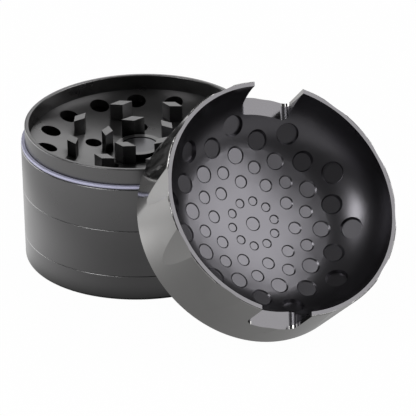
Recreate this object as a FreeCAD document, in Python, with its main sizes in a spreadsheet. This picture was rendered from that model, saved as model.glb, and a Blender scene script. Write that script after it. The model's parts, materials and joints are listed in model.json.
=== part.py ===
"""Hand herb grinder: a stack of three screwed metal sections with its dished lid off and leaning on it."""
import FreeCAD, Part
import math
import os
import Sketcher
from FreeCAD import Placement, Rotation, Vector

# Driving dimensions in millimetres, degrees and counts.
DIMENSIONS = [
    # The stack of sections
    ("body_radius", 31.5),
    ("cup_height", 7.0),
    ("sieve_height", 13.2),
    ("chamber_height", 12.0),
    ("edge_break", 0.12),
    ("foot_round", 0.8),
    ("cup_floor", 1.8),
    # Screw joints between the sections
    ("socket_wall", 2.0),
    ("spigot_length", 4.2),
    ("socket_relief", 0.5),
    ("thread_height", 0.7),
    ("thread_clearance", 0.3),
    ("thread_base", 1.0),
    ("thread_crest", 0.5),
    ("thread_pitch", 2.0),
    ("thread_turns", 1.2),
    ("thread_lead", 0.9),
    ("thread_root", 0.25),
    # Sieve section, its screen and the ring that holds it
    ("sieve_wall", 4.3),
    ("ledge_width", 1.8),
    ("ledge_rise", 2.5),
    ("screen_thickness", 0.4),
    ("screen_gap", 0.2),
    ("mesh_pitch", 2.7),
    ("mesh_opening", 1.7),
    ("mesh_border", 2.2),
    ("clamp_height", 1.2),
    ("clamp_width", 1.5),
    ("clamp_gap", 0.1),
    # Grinding chamber
    ("chamber_wall", 3.2),
    ("spigot_wall", 1.9),
    ("rim_step", 1.1),
    ("rim_height", 5.5),
    ("rim_wall", 1.2),
    ("rim_round", 0.3),
    ("floor_depth", 9.0),
    ("floor_curve", 90.0),
    ("floor_thickness", 2.0),
    ("drop_hole_count", 15),
    ("drop_hole_size", 5.2),
    ("drop_hole_margin", 4.6),
    ("drop_hole_angle", 92.0),
    ("inner_hole_count", 5),
    ("inner_hole_size", 4.4),
    ("inner_hole_circle", 12.9),
    ("inner_hole_angle", 162.0),
    ("tooth_length", 6.2),
    ("tooth_width", 3.0),
    ("inner_tooth_count", 5),
    ("inner_tooth_circle", 8.5),
    ("inner_tooth_angle", 29.0),
    ("inner_tooth_drop", 3.2),
    ("outer_tooth_count", 8),
    ("outer_tooth_circle", 18.2),
    ("outer_tooth_angle", 60.5),
    ("outer_tooth_drop", 2.7),
    ("boss_radius", 6.4),
    ("boss_rise", 2.0),
    # Magnets of the chamber and the lid
    ("magnet_radius", 4.8),
    ("magnet_thickness", 1.5),
    ("magnet_gap", 0.06),
    ("magnet_recess", 0.2),
    ("magnet_break", 0.2),
    # Friction ring under the lid
    ("ring_height", 1.0),
    ("ring_inset", 0.1),
    ("ring_gap", 0.1),
    ("ring_round", 0.2),
    # Lid
    ("lid_clearance", 0.25),
    ("skirt_depth", 5.2),
    ("ceiling_rise", 1.1),
    ("dish_floor", 1.7),
    ("dish_depth", 18.8),
    ("dish_curve", 62.0),
    ("dish_wall", 1.3),
    ("lip_flare", 0.8),
    ("lip_round", 0.3),
    ("notch_width", 13.8),
    ("notch_depth", 10.5),
    ("notch_round", 2.0),
    ("scallop_count", 12),
    ("scallop_radius", 40.0),
    ("scallop_depth", 0.45),
    ("scallop_end", 7.0),
    ("dimple_count", 10),
    ("dimple_lean", 0.9),
    ("dimple_draft", 0.28),
    ("dimple_reach", 1.0),
    ("centre_dimple_size", 4.0),
    ("lid_boss_radius", 6.0),
    ("lid_boss_drop", 1.0),
    ("lid_inner_tooth_count", 5),
    ("lid_inner_tooth_circle", 12.8),
    ("lid_inner_tooth_drop", 2.5),
    ("lid_outer_tooth_count", 10),
    ("lid_outer_tooth_circle", 21.7),
    ("lid_outer_tooth_drop", 1.2),
    # How the lid leans on the chamber
    ("lean_heading", 33.9),
    ("lean_tilt", 42.9),
    ("lean_side", 3.2),
    ("lean_gap", 0.3),
    ("lean_spin", 65.6),
]

# Rings of dimples in the dish: distance in from the dish's rim, diameter and depth of each ring.
DIMPLE_RINGS = [
    ("dimple_first", 24.76, 2.6, 0.18),
    ("dimple_second", 19.58, 3.5, 0.18),
    ("dimple_third", 15.91, 3.6, 0.18),
    ("dimple_fourth", 12.82, 4.6, 0.2),
    ("dimple_fifth", 9.15, 5.2, 0.3),
    ("dimple_sixth", 5.82, 5.8, 0.9),
]
for ring_name, ring_margin, ring_size, ring_depth in DIMPLE_RINGS:
    DIMENSIONS.append((f"{ring_name}_margin", ring_margin))
    DIMENSIONS.append((f"{ring_name}_size", ring_size))
    DIMENSIONS.append((f"{ring_name}_depth", ring_depth))

# How closely the leaning lid is set to its gap.
LEAN_TOLERANCE = 1e-6

# Places and sizes that follow from the driving dimensions.
DERIVED = [
    ("low_seam", "dims.cup_height"),
    ("high_seam", "dims.cup_height + dims.sieve_height"),
    ("shoulder", "fit.high_seam + dims.chamber_height"),
    ("rim_top", "fit.shoulder + dims.rim_height"),
    ("rim_outer", "dims.body_radius - dims.rim_step"),
    ("rim_inner", "fit.rim_outer - dims.rim_wall"),
    ("socket_radius", "dims.body_radius - dims.socket_wall"),
    ("spigot_radius", "fit.socket_radius - dims.thread_clearance - dims.thread_height"),
    ("socket_depth", "dims.spigot_length + dims.socket_relief"),
    ("sieve_inner", "dims.body_radius - dims.sieve_wall"),
    ("ledge_inner", "fit.sieve_inner - dims.ledge_width"),
    ("ledge_top", "fit.low_seam + dims.ledge_rise"),
    ("screen_top", "fit.ledge_top + dims.screen_thickness"),
    ("clamp_outer", "fit.sieve_inner - dims.clamp_gap"),
    ("chamber_inner", "dims.body_radius - dims.chamber_wall"),
    ("spigot_inner", "fit.spigot_radius - dims.spigot_wall"),
    ("floor_top", "fit.rim_top - dims.floor_depth"),
    ("floor_centre", "fit.floor_top + dims.floor_curve"),
    ("under_curve", "dims.floor_curve + dims.floor_thickness"),
    ("floor_edge", "fit.floor_centre - sqrt(dims.floor_curve^2 - fit.rim_inner^2)"),
    ("under_edge", "fit.floor_centre - sqrt(fit.under_curve^2 - fit.chamber_inner^2)"),
    ("boss_top", "fit.floor_top + dims.boss_rise"),
    ("magnet_seat", "fit.boss_top - dims.magnet_recess - dims.magnet_thickness"),
    ("ring_outer", "dims.body_radius - dims.ring_inset"),
    ("ring_inner", "fit.rim_outer + dims.ring_gap"),
    ("ring_top", "fit.shoulder + dims.ring_height"),
    ("drop_hole_circle", "fit.rim_inner - dims.drop_hole_margin"),
    ("skirt_inner", "fit.rim_outer + dims.lid_clearance"),
    ("lid_height", "dims.ceiling_rise + dims.dish_floor + dims.dish_depth"),
    ("dish_bottom", "dims.ceiling_rise + dims.dish_floor"),
    ("dish_centre", "fit.dish_bottom + dims.dish_curve"),
    ("lip_radius", "dims.body_radius + dims.lip_flare"),
    ("dish_rim", "fit.lip_radius - dims.dish_wall"),
    ("corner_radius", "(dims.dish_curve^2 - fit.dish_rim^2 - (dims.dish_curve - dims.dish_depth)^2)"
                      " / (2 * (dims.dish_curve - fit.dish_rim))"),
    ("corner_centre", "fit.dish_rim - fit.corner_radius"),
    ("corner_share", "dims.dish_curve / (dims.dish_curve - fit.corner_radius)"),
    ("corner_start", "fit.corner_centre * fit.corner_share"),
    ("corner_start_height", "fit.dish_centre - (dims.dish_curve - dims.dish_depth) * fit.corner_share"),
    ("ceiling_curve", "dims.dish_curve + dims.dish_floor"),
    ("ceiling_edge", "sqrt(fit.ceiling_curve^2 - (fit.dish_centre - dims.skirt_depth)^2)"),
    ("scallop_root", "dims.body_radius + dims.lip_flare * dims.scallop_end / fit.lid_height"),
]


def make_sheet(document):
    """The spreadsheet of driving dimensions and the set of values that follow from them."""
    sheet = document.addObject("Spreadsheet::Sheet", "dims")
    for row, (alias, number) in enumerate(DIMENSIONS, start=1):
        sheet.set(f"A{row}", alias)
        sheet.set(f"B{row}", str(number))
        sheet.setAlias(f"B{row}", alias)
    document.recompute()
    derived = document.addObject("App::VarSet", "fit")
    for name, expression in DERIVED:
        derived.addProperty("App::PropertyFloat", name)
        derived.setExpression(name, expression)
        document.recompute()
    return sheet


doc = FreeCAD.newDocument("herb_grinder")
dims = make_sheet(doc)


def value(expression):
    """The number that an expression over the sheet gives now."""
    return float(dims.evalExpression(expression))


def origin_feature(body, role):
    """An origin plane or axis of a body, by its role."""
    return next(feature for feature in body.Origin.OriginFeatures if feature.Role == role)


def make_body(label):
    body = doc.addObject("PartDesign::Body", label)
    body.Label = label
    return body


def make_sketch(body, name, role, offset=None):
    sketch = body.newObject("Sketcher::SketchObject", name)
    sketch.AttachmentSupport = (origin_feature(body, role), "")
    sketch.MapMode = "FlatFace"
    if offset:
        sketch.setExpression("AttachmentOffset", offset)
    return sketch


def bind(sketch, kind, references, expression):
    """Add one constraint whose size is bound to an expression."""
    index = sketch.addConstraint(Sketcher.Constraint(kind, *references, value(expression)))
    sketch.setExpression(f"Constraints[{index}]", expression)


def add_arc(sketch, start, end, centre, radius):
    """Add the shorter arc from start to end, and return its index with its first and last point numbers."""
    middle = Vector(value(centre[0]), value(centre[1]), 0)
    first = math.atan2(start.y - middle.y, start.x - middle.x)
    last = math.atan2(end.y - middle.y, end.x - middle.x)
    circle = Part.Circle(middle, Vector(0, 0, 1), value(radius))
    if (last - first) % (2 * math.pi) < math.pi:
        index = sketch.addGeometry(Part.ArcOfCircle(circle, first, last), False)
        return index, 1, 2
    index = sketch.addGeometry(Part.ArcOfCircle(circle, last, first), False)
    return index, 2, 1


def draw_outline(sketch, corners, arcs=None):
    """A closed outline through corners given as expressions; arcs maps a corner to (centre, radius)."""
    arcs = arcs or {}
    points = [Vector(value(across), value(up), 0) for across, up in corners]
    edges = []
    for number, start in enumerate(points):
        end = points[(number + 1) % len(points)]
        if number in arcs:
            edges.append(add_arc(sketch, start, end, *arcs[number]))
        else:
            edges.append((sketch.addGeometry(Part.LineSegment(start, end), False), 1, 2))
    for number, (edge, first, last) in enumerate(edges):
        following, following_first, following_last = edges[(number + 1) % len(edges)]
        sketch.addConstraint(Sketcher.Constraint("Coincident", edge, last, following, following_first))
        across, up = corners[number]
        if across == "0":
            sketch.addConstraint(Sketcher.Constraint("PointOnObject", edge, first, -2))
        else:
            bind(sketch, "DistanceX", (-1, 1, edge, first), across)
        if up == "0":
            sketch.addConstraint(Sketcher.Constraint("PointOnObject", edge, first, -1))
        else:
            bind(sketch, "DistanceY", (-1, 1, edge, first), up)
        if number in arcs:
            bind(sketch, "Radius", (edge,), arcs[number][1])


def revolve(body, name, corners, arcs=None):
    """A solid turned about the body's Z axis from an outline of radius and height."""
    sketch = make_sketch(body, f"{name}_section", "XZ_Plane")
    draw_outline(sketch, corners, arcs)
    turned = body.newObject("PartDesign::Revolution", name)
    turned.Profile = sketch
    turned.ReferenceAxis = (sketch, ["V_Axis"])
    turned.Angle = 360
    doc.recompute()
    return turned


def polar_pattern(body, feature, count):
    pattern = body.newObject("PartDesign::PolarPattern", f"{feature.Name}_ring")
    pattern.Originals = [feature]
    pattern.Axis = (origin_feature(body, "Z_Axis"), [""])
    pattern.Angle = 360
    pattern.setExpression("Occurrences", count)
    body.Tip = pattern
    doc.recompute()
    return pattern


def add_thread(body, name, seam, inside):
    """A helical ridge below a seam: inside a socket, or outside a spigot, half a turn apart."""
    opposite = "placement(vector(0; 0; 0); rotation(vector(0; 1; 0); 180))"
    sketch = make_sketch(body, f"{name}_section", "XZ_Plane", opposite if inside else None)
    middle = f"({seam} - dims.spigot_length + dims.thread_lead)"
    if inside:
        root = "fit.socket_radius"
        buried = f"{root} + dims.thread_root"
        crest = f"{root} - dims.thread_height"
    else:
        root = "fit.spigot_radius"
        buried = f"{root} - dims.thread_root"
        crest = f"{root} + dims.thread_height"
    draw_outline(sketch, [
        (buried, f"{middle} - dims.thread_base / 2"),
        (root, f"{middle} - dims.thread_base / 2"),
        (crest, f"{middle} - dims.thread_crest / 2"),
        (crest, f"{middle} + dims.thread_crest / 2"),
        (root, f"{middle} + dims.thread_base / 2"),
        (buried, f"{middle} + dims.thread_base / 2"),
    ])
    doc.recompute()
    ridge = body.newObject("PartDesign::AdditiveHelix", name)
    ridge.Profile = sketch
    ridge.ReferenceAxis = (sketch, ["V_Axis"])
    ridge.Mode = "pitch-height-angle"
    ridge.setExpression("Pitch", "dims.thread_pitch")
    ridge.setExpression("Height", "dims.thread_pitch * dims.thread_turns")
    doc.recompute()
    return ridge


def add_teeth(body, name, circle, angle, count, top, length, downwards=False):
    """A ring of rhombic teeth that stand on a plane, or hang from it."""
    turned = f"placement(vector(0; 0; {top}); rotation({angle}; 0; 0))"
    sketch = make_sketch(body, f"{name}_section", "XY_Plane", turned)
    draw_outline(sketch, [
        (f"{circle} - dims.tooth_width / 2", "0"),
        (circle, "-dims.tooth_length / 2"),
        (f"{circle} + dims.tooth_width / 2", "0"),
        (circle, "dims.tooth_length / 2"),
    ])
    tooth = body.newObject("PartDesign::Pad", name)
    tooth.Profile = sketch
    tooth.setExpression("Length", length)
    tooth.Reversed = downwards
    doc.recompute()
    polar_pattern(body, tooth, count)


def add_round(body, kind, name, radius, height, offset):
    """A cylinder added to, or taken from, a body at an expression placement."""
    return add_primitive(body, f"{kind}Cylinder", name, offset, {"Radius": radius, "Height": height})


def add_primitive(body, kind, name, offset, sizes):
    """A primitive solid added to, or taken from, a body at an expression placement."""
    feature = body.newObject(f"PartDesign::{kind}", name)
    feature.AttachmentSupport = [(origin_feature(body, "XY_Plane"), "")]
    feature.MapMode = "FlatFace"
    feature.setExpression("AttachmentOffset", offset)
    for size, expression in sizes.items():
        feature.setExpression(size, expression)
    doc.recompute()
    return feature


def turned_place(circle, angle, height, lean="0"):
    """Placement on a circle about Z, turned to face out and leaning in by an angle."""
    return (f"placement(vector(({circle}) * cos({angle}); ({circle}) * sin({angle}); {height});"
            f" rotation({angle}; -({lean}); 0))")


def make_catcher_cup():
    body = make_body("catcher_cup")
    revolve(body, "cup_shell", [
        ("0", "0"),
        ("dims.body_radius - dims.foot_round", "0"),
        ("dims.body_radius", "dims.foot_round"),
        ("dims.body_radius", "fit.low_seam - dims.edge_break"),
        ("dims.body_radius - dims.edge_break", "fit.low_seam"),
        ("fit.socket_radius", "fit.low_seam"),
        ("fit.socket_radius", "dims.cup_floor"),
        ("0", "dims.cup_floor"),
    ], {1: (("dims.body_radius - dims.foot_round", "dims.foot_round"), "dims.foot_round")})
    add_thread(body, "cup_thread", "fit.low_seam", inside=True)
    return body


def make_sieve_chamber():
    body = make_body("sieve_chamber")
    spigot_end = "fit.low_seam - dims.spigot_length"
    socket_floor = "fit.high_seam - fit.socket_depth"
    revolve(body, "sieve_shell", [
        ("fit.ledge_inner", spigot_end),
        ("fit.spigot_radius - dims.edge_break", spigot_end),
        ("fit.spigot_radius", f"{spigot_end} + dims.edge_break"),
        ("fit.spigot_radius", "fit.low_seam"),
        ("dims.body_radius - dims.edge_break", "fit.low_seam"),
        ("dims.body_radius", "fit.low_seam + dims.edge_break"),
        ("dims.body_radius", "fit.high_seam - dims.edge_break"),
        ("dims.body_radius - dims.edge_break", "fit.high_seam"),
        ("fit.socket_radius", "fit.high_seam"),
        ("fit.socket_radius", socket_floor),
        ("fit.sieve_inner", socket_floor),
        ("fit.sieve_inner", "fit.ledge_top"),
        ("fit.ledge_inner", "fit.ledge_top"),
    ])
    add_thread(body, "sieve_spigot_thread", "fit.low_seam", inside=False)
    add_thread(body, "sieve_socket_thread", "fit.high_seam", inside=True)
    return body


def make_sieve_screen():
    """The mesh disc: one round face with a grid of square openings, raised to its thickness."""
    radius = value("fit.sieve_inner - dims.screen_gap")
    pitch = value("dims.mesh_pitch")
    opening = value("dims.mesh_opening")
    reach = radius - value("dims.mesh_border")
    level = value("fit.ledge_top")
    rim = Part.Wire([Part.Circle(Vector(0, 0, level), Vector(0, 0, 1), radius).toShape()])
    steps = int(reach / pitch)
    openings = []
    for column in range(-steps, steps + 1):
        for line in range(-steps, steps + 1):
            corner = Vector(column * pitch - opening / 2, line * pitch - opening / 2, level)
            far = max(abs(corner.x), abs(corner.x + opening)), max(abs(corner.y), abs(corner.y + opening))
            if math.hypot(*far) < reach:
                square = Part.makePlane(opening, opening, corner)
                openings.append(square.OuterWire)
    face = Part.Face(rim).cut(Part.Compound([Part.Face(wire) for wire in openings]))
    screen = doc.addObject("Part::Feature", "sieve_screen")
    screen.Label = "sieve_screen"
    screen.Shape = face.Faces[0].extrude(Vector(0, 0, value("dims.screen_thickness")))
    screen.Placement = Placement()
    return screen


def make_retaining_ring():
    body = make_body("screen_retaining_ring")
    inner = "fit.clamp_outer - dims.clamp_width"
    top = "fit.screen_top + dims.clamp_height"
    revolve(body, "clamp_section", [
        (inner, "fit.screen_top"),
        ("fit.clamp_outer", "fit.screen_top"),
        ("fit.clamp_outer", f"{top} - dims.edge_break"),
        ("fit.clamp_outer - dims.edge_break", top),
        (f"{inner} + dims.edge_break", top),
        (inner, f"{top} - dims.edge_break"),
    ])
    return body


def make_grinding_chamber():
    body = make_body("grinding_chamber")
    spigot_end = "fit.high_seam - dims.spigot_length"
    taper = "fit.chamber_inner - fit.spigot_inner"
    floor_middle = ("0", "fit.floor_centre")
    lip = "fit.rim_top - dims.rim_round"
    revolve(body, "chamber_shell", [
        ("0", "fit.floor_top - dims.floor_thickness"),
        ("fit.chamber_inner", "fit.under_edge"),
        ("fit.chamber_inner", f"fit.high_seam + {taper}"),
        ("fit.spigot_inner", "fit.high_seam"),
        ("fit.spigot_inner", spigot_end),
        ("fit.spigot_radius - dims.edge_break", spigot_end),
        ("fit.spigot_radius", f"{spigot_end} + dims.edge_break"),
        ("fit.spigot_radius", "fit.high_seam"),
        ("dims.body_radius - dims.edge_break", "fit.high_seam"),
        ("dims.body_radius", "fit.high_seam + dims.edge_break"),
        ("dims.body_radius", "fit.shoulder - dims.edge_break"),
        ("dims.body_radius - dims.edge_break", "fit.shoulder"),
        ("fit.rim_outer", "fit.shoulder"),
        ("fit.rim_outer", lip),
        ("fit.rim_outer - dims.rim_round", "fit.rim_top"),
        ("fit.rim_inner + dims.rim_round", "fit.rim_top"),
        ("fit.rim_inner", lip),
        ("fit.rim_inner", "fit.floor_edge"),
        ("0", "fit.floor_top"),
    ], {
        0: (floor_middle, "fit.under_curve"),
        13: (("fit.rim_outer - dims.rim_round", lip), "dims.rim_round"),
        15: (("fit.rim_inner + dims.rim_round", lip), "dims.rim_round"),
        17: (floor_middle, "dims.floor_curve"),
    })
    drill_floor(body, "drop_hole")
    drill_floor(body, "inner_hole")
    for ring in ("inner_tooth", "outer_tooth"):
        circle = f"dims.{ring}_circle"
        rooted = f"fit.floor_top + {circle}^2 / (2 * dims.floor_curve) - dims.floor_thickness / 2"
        height = f"fit.rim_top - dims.{ring}_drop - ({rooted})"
        add_teeth(body, ring, circle, f"dims.{ring}_angle", f"dims.{ring}_count", rooted, height)
    rooted = "fit.floor_top - dims.floor_thickness / 2"
    add_round(body, "Additive", "boss", "dims.boss_radius", f"fit.boss_top - ({rooted})",
              turned_place("0", "0", rooted))
    add_round(body, "Subtractive", "magnet_pocket", "dims.magnet_radius + dims.magnet_gap",
              "dims.boss_rise", turned_place("0", "0", "fit.magnet_seat - dims.magnet_gap"))
    add_thread(body, "chamber_thread", "fit.high_seam", inside=False)
    return body


def drill_floor(body, ring):
    """A ring of round holes straight down through the dished floor."""
    circle = "fit.drop_hole_circle" if ring == "drop_hole" else f"dims.{ring}_circle"
    hole = add_round(body, "Subtractive", ring, f"dims.{ring}_size / 2", "fit.rim_top - fit.high_seam",
                     turned_place(circle, f"dims.{ring}_angle", "fit.high_seam"))
    polar_pattern(body, hole, f"dims.{ring}_count")


def make_magnet(label, seat, placement):
    """A disc magnet standing on its seat, with its edges broken."""
    disc = doc.addObject("Part::Cylinder", f"{label}_disc")
    disc.setExpression("Radius", "dims.magnet_radius")
    disc.setExpression("Height", "dims.magnet_thickness")
    disc.setExpression("Placement", f"placement(vector(0; 0; {seat}); rotation(0; 0; 0))")
    doc.recompute()
    magnet = doc.addObject("Part::Chamfer", label)
    magnet.Label = label
    magnet.Base = disc
    rims = [number for number, edge in enumerate(disc.Shape.Edges, start=1) if edge.Closed]
    magnet.Edges = [(number, value("dims.magnet_break"), value("dims.magnet_break")) for number in rims]
    magnet.Placement = placement
    doc.recompute()
    return magnet


def make_friction_ring():
    body = make_body("friction_ring")
    outer_round = "fit.ring_outer - dims.ring_round"
    low_round = "fit.shoulder + dims.ring_round"
    high_round = "fit.ring_top - dims.ring_round"
    revolve(body, "ring_section", [
        ("fit.ring_inner", "fit.shoulder"),
        (outer_round, "fit.shoulder"),
        ("fit.ring_outer", low_round),
        ("fit.ring_outer", high_round),
        (outer_round, "fit.ring_top"),
        ("fit.ring_inner", "fit.ring_top"),
    ], {1: ((outer_round, low_round), "dims.ring_round"), 3: ((outer_round, high_round), "dims.ring_round")})
    return body


def make_lid():
    body = make_body("lid")
    add_lid_shell(body)
    add_lid_underside(body)
    add_scallops(body)
    cut_notches(body)
    cut_dimples(body)
    body.Placement = lid_placement(body.Shape)
    return body


def add_lid_shell(body):
    """The turned shell of the lid: skirt, side, lip, dish with its middle dimple and curved ceiling below."""
    lip = "fit.lid_height - dims.lip_round"
    dish_middle = ("0", "fit.dish_centre")
    mouth = "dims.centre_dimple_size / 2"
    sunk = "fit.dish_bottom - dims.dimple_first_depth"
    revolve(body, "lid_shell", [
        ("0", "dims.ceiling_rise"),
        ("fit.ceiling_edge", "dims.skirt_depth"),
        ("fit.skirt_inner", "dims.skirt_depth"),
        ("fit.skirt_inner", "0"),
        ("dims.body_radius - dims.edge_break", "0"),
        ("dims.body_radius", "dims.edge_break"),
        ("fit.lip_radius", lip),
        ("fit.lip_radius - dims.lip_round", "fit.lid_height"),
        ("fit.dish_rim", "fit.lid_height"),
        ("fit.corner_start", "fit.corner_start_height"),
        (mouth, f"fit.dish_centre - sqrt(dims.dish_curve^2 - ({mouth})^2)"),
        (f"{mouth} - dims.dimple_draft", sunk),
        ("0", sunk),
    ], {
        0: (dish_middle, "fit.ceiling_curve"),
        6: (("fit.lip_radius - dims.lip_round", lip), "dims.lip_round"),
        8: (("fit.corner_centre", "fit.lid_height"), "fit.corner_radius"),
        9: (dish_middle, "dims.dish_curve"),
    })


def add_lid_underside(body):
    """Two rings of hanging teeth and the central boss with its magnet pocket."""
    for ring in ("lid_inner_tooth", "lid_outer_tooth"):
        circle = f"dims.{ring}_circle"
        rooted = (f"fit.dish_centre - sqrt(fit.ceiling_curve^2 - {circle}^2) + dims.dish_floor / 2")
        add_teeth(body, ring, circle, "0", f"dims.{ring}_count", rooted,
                  f"{rooted} + dims.{ring}_drop", downwards=True)
    add_round(body, "Additive", "lid_boss", "dims.lid_boss_radius",
              "fit.dish_bottom - dims.dish_floor / 2 + dims.lid_boss_drop",
              turned_place("0", "0", "-dims.lid_boss_drop"))
    pocket = "dims.magnet_thickness + dims.magnet_recess + dims.magnet_gap"
    add_round(body, "Subtractive", "lid_magnet_pocket", "dims.magnet_radius + dims.magnet_gap", pocket,
              turned_place("0", "0", "-dims.lid_boss_drop"))


def add_scallops(body):
    """Finger scallops: leaning cylinders that bite deepest at the lip and run out down the side."""
    drop = "(fit.lid_height - dims.scallop_end)"
    lean = f"atan((fit.scallop_root - fit.lip_radius + dims.scallop_depth) / {drop})"
    cutter = "fit.scallop_root + dims.scallop_radius"
    scallop = add_round(body, "Subtractive", "scallop", "dims.scallop_radius", "fit.lid_height",
                        turned_place(cutter, "0", "dims.scallop_end", lean))
    polar_pattern(body, scallop, "dims.scallop_count")


def cut_notches(body):
    """One slot across the lip, which leaves the two opposite notches."""
    sketch = make_sketch(body, "notch_section", "YZ_Plane")
    floor = "fit.lid_height - dims.notch_depth"
    half = "dims.notch_width / 2"
    corner = f"{floor} + dims.notch_round"
    inner = f"{half} - dims.notch_round"
    above = "fit.lid_height + dims.notch_round"
    draw_outline(sketch, [
        (f"-({inner})", floor),
        (inner, floor),
        (half, corner),
        (half, above),
        (f"-({half})", above),
        (f"-({half})", corner),
    ], {1: ((inner, corner), "dims.notch_round"), 5: ((f"-({inner})", corner), "dims.notch_round")})
    slot = body.newObject("PartDesign::Pocket", "notch")
    slot.Profile = sketch
    slot.SideType = "Symmetric"
    slot.setExpression("Length", "2 * (fit.lip_radius + dims.notch_round)")
    doc.recompute()


def cut_dimples(body):
    """Rings of round hollows in the dish, each with a flat floor and a sloping wall.

    Neighbouring rings are half a step apart, and the cutter starts a little above the dish.
    """
    for number, (ring, _, _, _) in enumerate(DIMPLE_RINGS):
        circle = f"(fit.dish_rim - dims.{ring}_margin)"
        sunk = f"dims.{ring}_depth"
        on_corner = f"{circle} > fit.corner_start"
        slope = (f"({on_corner} ? asin(({circle} - fit.corner_centre) / fit.corner_radius)"
                 f" : asin({circle} / dims.dish_curve))")
        height = (f"({on_corner}"
                  f" ? fit.lid_height - sqrt(fit.corner_radius^2 - ({circle} - fit.corner_centre)^2)"
                  f" : fit.dish_centre - sqrt(dims.dish_curve^2 - {circle}^2))")
        lean = f"{slope} * dims.dimple_lean"
        angle = "180 / dims.dimple_count" if number % 2 else "0"
        place = turned_place(f"{circle} + {sunk} * sin({lean})", angle,
                             f"{height} - {sunk} * cos({lean})", lean)
        mouth = f"dims.{ring}_size / 2"
        dimple = add_primitive(body, "SubtractiveCone", ring, place, {
            "Radius1": f"{mouth} - dims.dimple_draft",
            "Radius2": f"{mouth} + dims.dimple_draft * dims.dimple_reach / {sunk}",
            "Height": f"{sunk} + dims.dimple_reach",
        })
        polar_pattern(body, dimple, "dims.dimple_count")


def lid_placement(lid):
    """The lid on edge on the floor, one notch upwards, slid in until it leans by the chamber's rim."""
    heading = math.radians(value("dims.lean_heading"))
    tilt = math.radians(value("dims.lean_tilt"))
    spin = math.radians(value("dims.lean_spin"))
    outward = Vector(math.sin(heading), -math.cos(heading), 0)
    sideways = Vector(math.cos(heading), math.sin(heading), 0)
    normal = outward * math.cos(tilt) + Vector(0, 0, math.sin(tilt))
    upwards = outward * -math.sin(tilt) + Vector(0, 0, math.cos(tilt))
    notch_way = sideways * math.cos(spin) + upwards * math.sin(spin)
    turn = Rotation(notch_way, normal.cross(notch_way), normal, "ZXY")
    radius = value("dims.body_radius")
    centre = sideways * value("dims.lean_side") + outward * (2 * radius) + Vector(0, 0, radius * math.cos(tilt))
    rim = Part.Circle(Vector(0, 0, value("fit.rim_top")), Vector(0, 0, 1), value("fit.rim_outer")).toShape()
    leaning = lid.copy()
    room = math.inf
    while room > LEAN_TOLERANCE:
        leaning.Placement = Placement(centre, turn)
        room = leaning.distToShape(rim)[0] - value("dims.lean_gap")
        centre -= outward * room
    return leaning.Placement


def check_document(parts):
    """Stop if any object failed or any sub-part is not one valid solid."""
    for item in doc.Objects:
        if "Invalid" in item.State or "Error" in item.State:
            raise RuntimeError(f"{item.Name} failed: {item.State}")
    for item in parts:
        if item.Shape.isNull() or not item.Shape.isValid() or len(item.Shape.Solids) != 1:
            raise RuntimeError(f"{item.Label} is not one valid solid")


lid = make_lid()
sub_parts = [
    make_catcher_cup(),
    make_sieve_chamber(),
    make_sieve_screen(),
    make_retaining_ring(),
    make_grinding_chamber(),
    make_magnet("chamber_magnet", "fit.magnet_seat", Placement()),
    make_friction_ring(),
    lid,
    make_magnet("lid_magnet", "dims.magnet_recess - dims.lid_boss_drop", lid.Placement),
]
doc.recompute()
check_document(sub_parts)
os.makedirs("parts", exist_ok=True)
for part in sub_parts:
    part.Shape.exportStep(f"parts/{part.Label}.step")
    print(part.Label, round(part.Shape.Volume, 1))
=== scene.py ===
"""Looks of the hand herb grinder.

Dark satin sections and a polished lid with a satin dish, on a white sweep under soft light.
"""
import json
import math
from typing import NamedTuple

import bpy
from mathutils import Matrix, Vector


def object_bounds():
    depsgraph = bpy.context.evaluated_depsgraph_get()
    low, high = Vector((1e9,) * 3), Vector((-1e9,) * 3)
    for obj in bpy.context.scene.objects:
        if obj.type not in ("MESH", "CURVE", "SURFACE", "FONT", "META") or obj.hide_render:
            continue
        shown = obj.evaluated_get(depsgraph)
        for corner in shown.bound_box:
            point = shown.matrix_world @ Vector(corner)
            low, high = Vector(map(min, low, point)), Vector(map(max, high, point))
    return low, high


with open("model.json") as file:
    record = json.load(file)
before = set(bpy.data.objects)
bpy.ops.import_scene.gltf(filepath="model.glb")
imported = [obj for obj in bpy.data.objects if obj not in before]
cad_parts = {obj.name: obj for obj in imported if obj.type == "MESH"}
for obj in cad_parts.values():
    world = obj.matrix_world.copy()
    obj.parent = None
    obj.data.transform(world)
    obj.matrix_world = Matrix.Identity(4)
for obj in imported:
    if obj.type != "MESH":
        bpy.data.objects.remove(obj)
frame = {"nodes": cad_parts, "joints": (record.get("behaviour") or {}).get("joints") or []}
cad_low, cad_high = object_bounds()

MM = 0.001
WHITE = (1.0, 1.0, 1.0, 1.0)

# The photograph's camera: lengths on the sensor in mm, the place in metres, angles in degrees
IMAGE_SIDE = 416
FOCAL_PIXELS = 4319.0
SENSOR_WIDTH = 36.0
CAMERA_PLACE = Vector((18.54, -1042.7, 520.5)) * MM
CAMERA_PITCH = 26.03
CAMERA_YAW = 0.036
CAMERA_ROLL = -1.49
CAMERA_CLIP_END = 20.0

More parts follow.
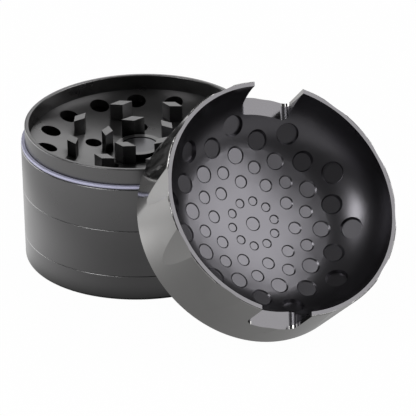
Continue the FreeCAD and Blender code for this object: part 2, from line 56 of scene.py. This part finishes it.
# Tones of each material: a darker and a lighter one, mixed by cloudy noise
BODY_TONES = ((0.195, 0.193, 0.195, 1.0), (0.215, 0.213, 0.215, 1.0))
MAGNET_TONES = ((0.16, 0.16, 0.17, 1.0), (0.19, 0.19, 0.20, 1.0))
STEEL_TONES = ((0.45, 0.45, 0.46, 1.0), (0.52, 0.52, 0.53, 1.0))
RING_TONES = ((0.35, 0.35, 0.47, 1.0), (0.40, 0.40, 0.53, 1.0))
DISH_TONES = ((0.150, 0.146, 0.158, 1.0), (0.168, 0.163, 0.177, 1.0))
LIP_TONES = ((0.120, 0.117, 0.123, 1.0), (0.136, 0.132, 0.139, 1.0))
POLISH_TONES = ((0.46, 0.454, 0.447, 1.0), (0.50, 0.494, 0.487, 1.0))
PAPER_TONES = ((0.86, 0.86, 0.86, 1.0), (0.88, 0.88, 0.88, 1.0))

# Roughness: a range that follows the same noise, or one value
BODY_ROUGHNESS = (0.27, 0.32)
STEEL_ROUGHNESS = (0.25, 0.35)
RING_ROUGHNESS = (0.32, 0.42)
DISH_ROUGHNESS = 0.31
POLISH_ROUGHNESS = 0.12
PAPER_ROUGHNESS = 0.9

# Noise: scales of the clouds and of the finer marks, detail, and the part of its range in use
METAL_CLOUDS = 90.0
RING_CLOUDS = 400.0
LID_CLOUDS = 120.0
PAPER_CLOUDS = 3.0
LID_GRAIN = 9000.0
TURNING_STRETCH = (30.0, 30.0, 6000.0)
CLOUD_DETAIL = 3.0
GRAIN_DETAIL = 2.0
NOISE_MIDDLE = (0.3, 0.7)

# Bumps: strength and height
TURNING_BUMP = (0.05, 0.02 * MM)
GRAIN_BUMP = (0.04, 0.01 * MM)

# Shade painted into recesses of turned metal: how far a place looks for walls, the open shares that
# count as deep and as open, and how much of its darker tone the body keeps where it is deep
RECESS_REACH = 9.0 * MM
OPENNESS_SPAN = (0.25, 0.85)
BODY_RECESS_SHADE_SHARE = 0.02

# The lid's polish: outside this radius, and on flats above this height along its axis
POLISH_RADIUS = 31.05 * MM
POLISH_HEIGHT = 9.0 * MM
FLAT_DOT = 0.98

# The photo shows a dark gap under the friction ring. Its shade is painted here, because the CAD has
# no
# gap: the ring has painted shade below the first height and its own tone above the second
RING_GAP_SHADE_SPAN = (32.45 * MM, 32.75 * MM)
RING_GAP_SHADE_TONE = (0.03, 0.03, 0.035, 1.0)

# Studio: the floor is white to the camera, and between dim and white in reflections
FLOOR_SIZE = 6.0
FLOOR_DROP = 0.02 * MM
FLOOR_WHITE_SHARE = 0.98
FLOOR_WHITE = 1.0
FLOOR_DIM = 0.22
WORLD_STRENGTH = 0.08
SOFTBOX_DISTANCE = 0.9


class Glow(NamedTuple):
    """Light on one side of the floor, as reflections show it."""

    heading: float  # degrees about Z from +X, where it is strongest
    power: float  # the higher, the narrower
    span: tuple  # two distances from the frame's origin, and the strength changes between them
    near: float  # strength up to the first distance
    far: float  # strength from the second distance


GLOWS = (
    Glow(heading=125.0, power=2.0, span=(50.0 * MM, 78.0 * MM), near=1.35, far=0.459),
    Glow(heading=-130.0, power=3.0, span=(62.0 * MM, 100.0 * MM), near=0.0, far=0.28),
    Glow(heading=-10.0, power=8.0, span=(62.0 * MM, 100.0 * MM), near=0.25, far=0.25),
)


class Softbox(NamedTuple):
    """A rectangular area lamp that faces the object."""

    name: str
    direction: tuple  # from the object to the lamp
    width: float
    height: float
    radiance: float
    mirrored: bool = True  # whether reflections show it


SOFTBOXES = (
    Softbox("dish_softbox", (0.74, -0.08, 0.67), 0.82, 0.82, 2.2),
    Softbox("left_softbox", (-0.60, -0.38, 0.71), 0.3, 0.42, 4.5),
    Softbox("back_softbox", (0.1, 0.88, 0.38), 0.42, 0.42, 1.1),
    Softbox("edge_softbox", (-0.78, 0.48, 0.25), 0.95, 0.42, 3.0),
    Softbox("fill_softbox", (-0.5, -0.8, 0.35), 0.8, 0.8, 3.0, mirrored=False),
)


class NodeBook:
    """A material's node tree with short calls for the nodes used here."""

    def __init__(self, name):
        self.material = bpy.data.materials.new(name)
        self.material.use_nodes = True
        self.tree = self.material.node_tree
        self.shader = self.tree.nodes["Principled BSDF"]

    def node(self, kind, **settings):
        made = self.tree.nodes.new(kind)
        for key, setting in settings.items():
            setattr(made, key, setting)
        return made

    def feed(self, socket, source):
        """Link an input to an output, or set it to a constant."""
        if isinstance(source, bpy.types.NodeSocket):
            self.tree.links.new(source, socket)
        else:
            socket.default_value = source

    def coat(self, sources):
        """Feed the shader's inputs by name, and return the material."""
        for name, source in sources.items():
            self.feed(self.shader.inputs[name], source)
        return self.material

    def coordinates(self, kind="Object"):
        return self.node("ShaderNodeTexCoord").outputs[kind]

    def scaled(self, vector, scale):
        mapping = self.node("ShaderNodeMapping")
        self.feed(mapping.inputs["Vector"], vector)
        self.feed(mapping.inputs["Scale"], scale)
        return mapping.outputs["Vector"]

    def noise(self, vector, scale, detail=CLOUD_DETAIL):
        texture = self.node("ShaderNodeTexNoise")
        self.feed(texture.inputs["Vector"], vector)
        self.feed(texture.inputs["Scale"], scale)
        self.feed(texture.inputs["Detail"], detail)
        return texture.outputs["Fac"]

    def remap(self, value, span, low, high, kind="LINEAR"):
        """Carry a value from a span to the range from low to high, held at its ends."""
        made = self.node("ShaderNodeMapRange", interpolation_type=kind)
        self.feed(made.inputs["Value"], value)
        self.feed(made.inputs["From Min"], span[0])
        self.feed(made.inputs["From Max"], span[1])
        self.feed(made.inputs["To Min"], low)
        self.feed(made.inputs["To Max"], high)
        return made.outputs["Result"]

    def blend(self, factor, first, second):
        """A colour between two, each a colour or a socket."""
        mix = self.node("ShaderNodeMix", data_type="RGBA")
        self.feed(mix.inputs["Factor"], factor)
        for name, source in (("A", first), ("B", second)):
            self.feed(next(s for s in mix.inputs if s.name == name and s.type == "RGBA"), source)
        return next(s for s in mix.outputs if s.type == "RGBA")

    def openness(self):
        """How open a place is, from 0 in a deep recess to 1 in the open, as a mask for painted
        recess shade.
        """
        shade = self.node("ShaderNodeAmbientOcclusion")
        self.feed(shade.inputs["Distance"], RECESS_REACH)
        return self.remap(shade.outputs["AO"], OPENNESS_SPAN, 0.0, 1.0, "SMOOTHSTEP")

    def calc(self, operation, first, *others):
        """Arithmetic on sockets and numbers, from left to right."""
        for other in others:
            step = self.node("ShaderNodeMath", operation=operation)
            self.feed(step.inputs[0], first)
            self.feed(step.inputs[1], other)
            first = step.outputs["Value"]
        return first

    def vector(self, operation, *sources, output="Vector"):
        """One step of arithmetic on vectors."""
        step = self.node("ShaderNodeVectorMath", operation=operation)
        for socket, source in zip(step.inputs, sources):
            self.feed(socket, source)
        return step.outputs[output]

    def along(self, vector, axis):
        """How far a vector reaches along an axis."""
        return self.vector("DOT_PRODUCT", vector, axis, output="Value")

    def length(self, vector):
        return self.vector("LENGTH", vector, output="Value")

    def bump(self, height, strength, distance):
        made = self.node("ShaderNodeBump")
        self.feed(made.inputs["Height"], height)
        self.feed(made.inputs["Strength"], strength)
        self.feed(made.inputs["Distance"], distance)
        return made.outputs["Normal"]


def turned_metal(name, tones, roughness, recess_shade_share=1.0):
    """Satin turned metal: fine marks of turning, cloudy tone and gloss, and shade painted into its
    recesses.
    """
    book = NodeBook(name)
    place = book.coordinates()
    clouds = book.noise(place, METAL_CLOUDS)
    marks = book.noise(book.scaled(place, TURNING_STRETCH), 1.0, GRAIN_DETAIL)
    # The colour of the painted recess shade: the darker tone scaled by the share
    deep = tuple(channel * recess_shade_share for channel in tones[0][:3]) + (1.0,)
    return book.coat({
        "Base Color": book.blend(book.openness(), deep, book.blend(clouds, *tones)),
        "Roughness": book.remap(clouds, NOISE_MIDDLE, *roughness),
        "Normal": book.bump(marks, *TURNING_BUMP),
        "Metallic": 1.0,
    })


def ring_polymer(name):
    """Slightly waxy moulded polymer, with the shade of a gap painted along its lower edge."""
    book = NodeBook(name)
    place = book.coordinates()
    clouds = book.noise(place, RING_CLOUDS)
    level = book.along(place, (0.0, 0.0, 1.0))
    # Painted shade of the gap under the ring, from its lower edge up to the span's top
    above_gap_shade = book.remap(level, RING_GAP_SHADE_SPAN, 0.0, 1.0, "SMOOTHSTEP")
    return book.coat({
        "Base Color": book.blend(above_gap_shade, RING_GAP_SHADE_TONE, book.blend(clouds, *RING_TONES)),
        "Roughness": book.remap(clouds, NOISE_MIDDLE, *RING_ROUGHNESS),
    })


def lid_zones(book, place):
    """Two shares, both 0 in the dish: 1 on the lid's lip and notch floors, and 1 on its outside."""
    joint = next(j for j in frame["joints"] if j["name"] == "lid_turn")
    axis = Vector(joint["axis"]).normalized()
    from_axis = book.vector("SUBTRACT", place, joint["pos_m"])
    radius = book.length(book.vector("CROSS_PRODUCT", from_axis, axis))
    high = book.calc("GREATER_THAN", book.along(from_axis, axis), POLISH_HEIGHT)
    level = book.calc("GREATER_THAN", book.along(book.coordinates("Normal"), axis), FLAT_DOT)
    return book.calc("MULTIPLY", level, high), book.calc("GREATER_THAN", radius, POLISH_RADIUS)


def lid_metal(name):
    """Polished dark nickel outside, a darker polished lip, and a fine satin in the dish."""
    book = NodeBook(name)
    place = book.coordinates()
    flat, outside = lid_zones(book, place)
    clouds = book.noise(place, LID_CLOUDS)
    grain = book.noise(place, LID_GRAIN, GRAIN_DETAIL)
    dish = book.blend(clouds, *DISH_TONES)
    lip = book.blend(clouds, *LIP_TONES)
    polish = book.blend(clouds, *POLISH_TONES)
    polished = book.calc("MAXIMUM", flat, outside)
    return book.coat({
        "Base Color": book.blend(flat, book.blend(outside, dish, polish), lip),
        "Roughness": book.remap(polished, (0.0, 1.0), DISH_ROUGHNESS, POLISH_ROUGHNESS),
        "Normal": book.bump(grain, *GRAIN_BUMP),
        "Metallic": 1.0,
    })


def floor_glow(book):
    """How bright the floor looks in a reflection."""
    flat = book.scaled(book.coordinates(), (1.0, 1.0, 0.0))
    outwards = book.vector("NORMALIZE", flat)
    reach = book.length(flat)
    lights = []
    for glow in GLOWS:
        turned = math.radians(glow.heading)
        towards = book.along(outwards, (math.cos(turned), math.sin(turned), 0.0))
        share = book.calc("MULTIPLY", book.calc("ADD", towards, 1.0), 0.5)
        strength = book.remap(reach, glow.span, glow.near, glow.far, "SMOOTHSTEP")
        lights.append(book.calc("MULTIPLY", book.calc("POWER", share, glow.power), strength))
    return book.calc("MINIMUM", book.calc("ADD", *lights, FLOOR_DIM), FLOOR_WHITE)


def floor_paper(name):
    """Paper that is white to the camera, glows in reflections and keeps a faint shadow."""
    book = NodeBook(name)
    clouds = book.noise(book.coordinates(), PAPER_CLOUDS)
    book.coat({"Base Color": book.blend(clouds, *PAPER_TONES), "Roughness": PAPER_ROUGHNESS})
    rays = book.node("ShaderNodeLightPath").outputs
    camera = rays["Is Camera Ray"]
    seen = book.calc("MAXIMUM", camera, rays["Is Glossy Ray"], rays["Is Transmission Ray"])
    glow = book.node("ShaderNodeEmission")
    book.feed(glow.inputs["Color"], WHITE)
    book.feed(glow.inputs["Strength"], book.calc("MAXIMUM", camera, floor_glow(book)))
    mix = book.node("ShaderNodeMixShader")
    book.feed(mix.inputs["Fac"], book.calc("MULTIPLY", seen, FLOOR_WHITE_SHARE))
    book.feed(mix.inputs[1], book.shader.outputs["BSDF"])
    book.feed(mix.inputs[2], glow.outputs["Emission"])
    book.feed(book.tree.nodes["Material Output"].inputs["Surface"], mix.outputs["Shader"])
    return book.material


def dress(nodes, material):
    """Give CAD nodes their material."""
    for node in nodes:
        mesh = frame["nodes"][node].data
        mesh.materials.clear()
        mesh.materials.append(material)


def make_floor():
    mesh = bpy.data.meshes.new("floor")
    half = FLOOR_SIZE / 2
    level = cad_low.z - FLOOR_DROP
    corners = [(x * half, y * half, level) for x, y in ((-1, -1), (1, -1), (1, 1), (-1, 1))]
    mesh.from_pydata(corners, [], [(0, 1, 2, 3)])
    floor = bpy.data.objects.new("floor", mesh)
    mesh.materials.append(floor_paper("floor_paper"))
    bpy.context.scene.collection.objects.link(floor)


def make_softbox(softbox):
    data = bpy.data.lights.new(softbox.name, "AREA")
    data.shape = "RECTANGLE"
    data.size = softbox.width
    data.size_y = softbox.height
    data.energy = softbox.radiance * math.pi * softbox.width * softbox.height
    lamp = bpy.data.objects.new(softbox.name, data)
    towards = Vector(softbox.direction).normalized()
    lamp.location = (cad_low + cad_high) / 2 + towards * SOFTBOX_DISTANCE
    lamp.rotation_euler = towards.to_track_quat("Z", "Y").to_euler()
    lamp.visible_camera = False
    lamp.visible_glossy = softbox.mirrored
    bpy.context.scene.collection.objects.link(lamp)


def make_world():
    world = bpy.data.worlds.new("studio")
    bpy.context.scene.world = world
    world.use_nodes = True
    background = world.node_tree.nodes["Background"]
    background.inputs["Color"].default_value = WHITE
    background.inputs["Strength"].default_value = WORLD_STRENGTH


def make_camera():
    data = bpy.data.cameras.new("camera")
    data.sensor_width = SENSOR_WIDTH
    data.lens = FOCAL_PIXELS / IMAGE_SIDE * SENSOR_WIDTH
    data.clip_end = CAMERA_CLIP_END
    camera = bpy.data.objects.new("camera", data)
    aim = Matrix.Rotation(math.radians(CAMERA_YAW), 4, "Z")
    tilt = Matrix.Rotation(math.radians(90 - CAMERA_PITCH), 4, "X")
    roll = Matrix.Rotation(math.radians(CAMERA_ROLL), 4, "Z")
    camera.matrix_world = Matrix.Translation(CAMERA_PLACE) @ aim @ tilt @ roll
    bpy.context.scene.collection.objects.link(camera)
    bpy.context.scene.camera = camera


dress(("catcher_cup", "sieve_chamber", "grinding_chamber"),
      turned_metal("body_metal", BODY_TONES, BODY_ROUGHNESS, BODY_RECESS_SHADE_SHARE))
dress(("lid",), lid_metal("lid_metal"))
dress(("friction_ring",), ring_polymer("lavender_polymer"))
dress(("chamber_magnet", "lid_magnet"),
      turned_metal("magnet_metal", MAGNET_TONES, STEEL_ROUGHNESS))
dress(("sieve_screen", "screen_retaining_ring"),
      turned_metal("steel", STEEL_TONES, STEEL_ROUGHNESS))

make_floor()
make_world()
make_camera()
for softbox in SOFTBOXES:
    make_softbox(softbox)

bpy.context.scene.view_settings.view_transform = "Standard"
